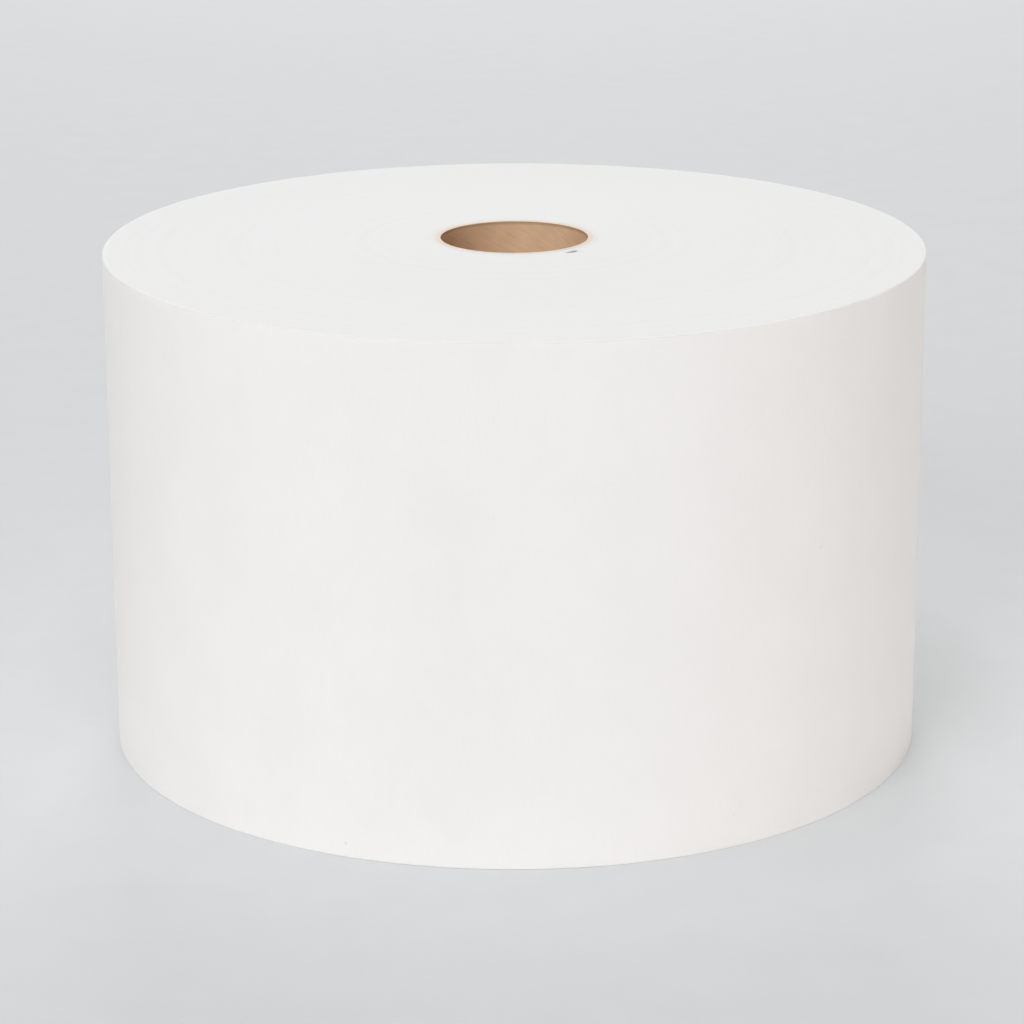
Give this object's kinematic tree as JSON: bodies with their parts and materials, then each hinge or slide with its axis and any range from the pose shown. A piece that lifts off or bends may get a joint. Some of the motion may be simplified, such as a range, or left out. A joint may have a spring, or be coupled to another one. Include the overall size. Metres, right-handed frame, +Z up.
{
  "type": "industrial paper roll",
  "caption": "Wide roll of plain white wiping paper wound on a brown cardboard core, standing on its end, slightly telescoped at the core.",
  "frame": {"origin": "centre of the end that the roll stands on, at floor level", "axes": "+Z up the roll's axis; the web's free end is on the +Y side"},
  "size_m": [0.3897, 0.3899, 0.2432],
  "materials": {
    "wiping_paper": "soft matt two-ply tissue, wound",
    "core_board": "spiral-wound kraft board, knife cut"
  },
  "bodies": {
    "root": {"wound_paper": "wiping_paper", "core_tube": "core_board"}
  },
  "joints": []
}
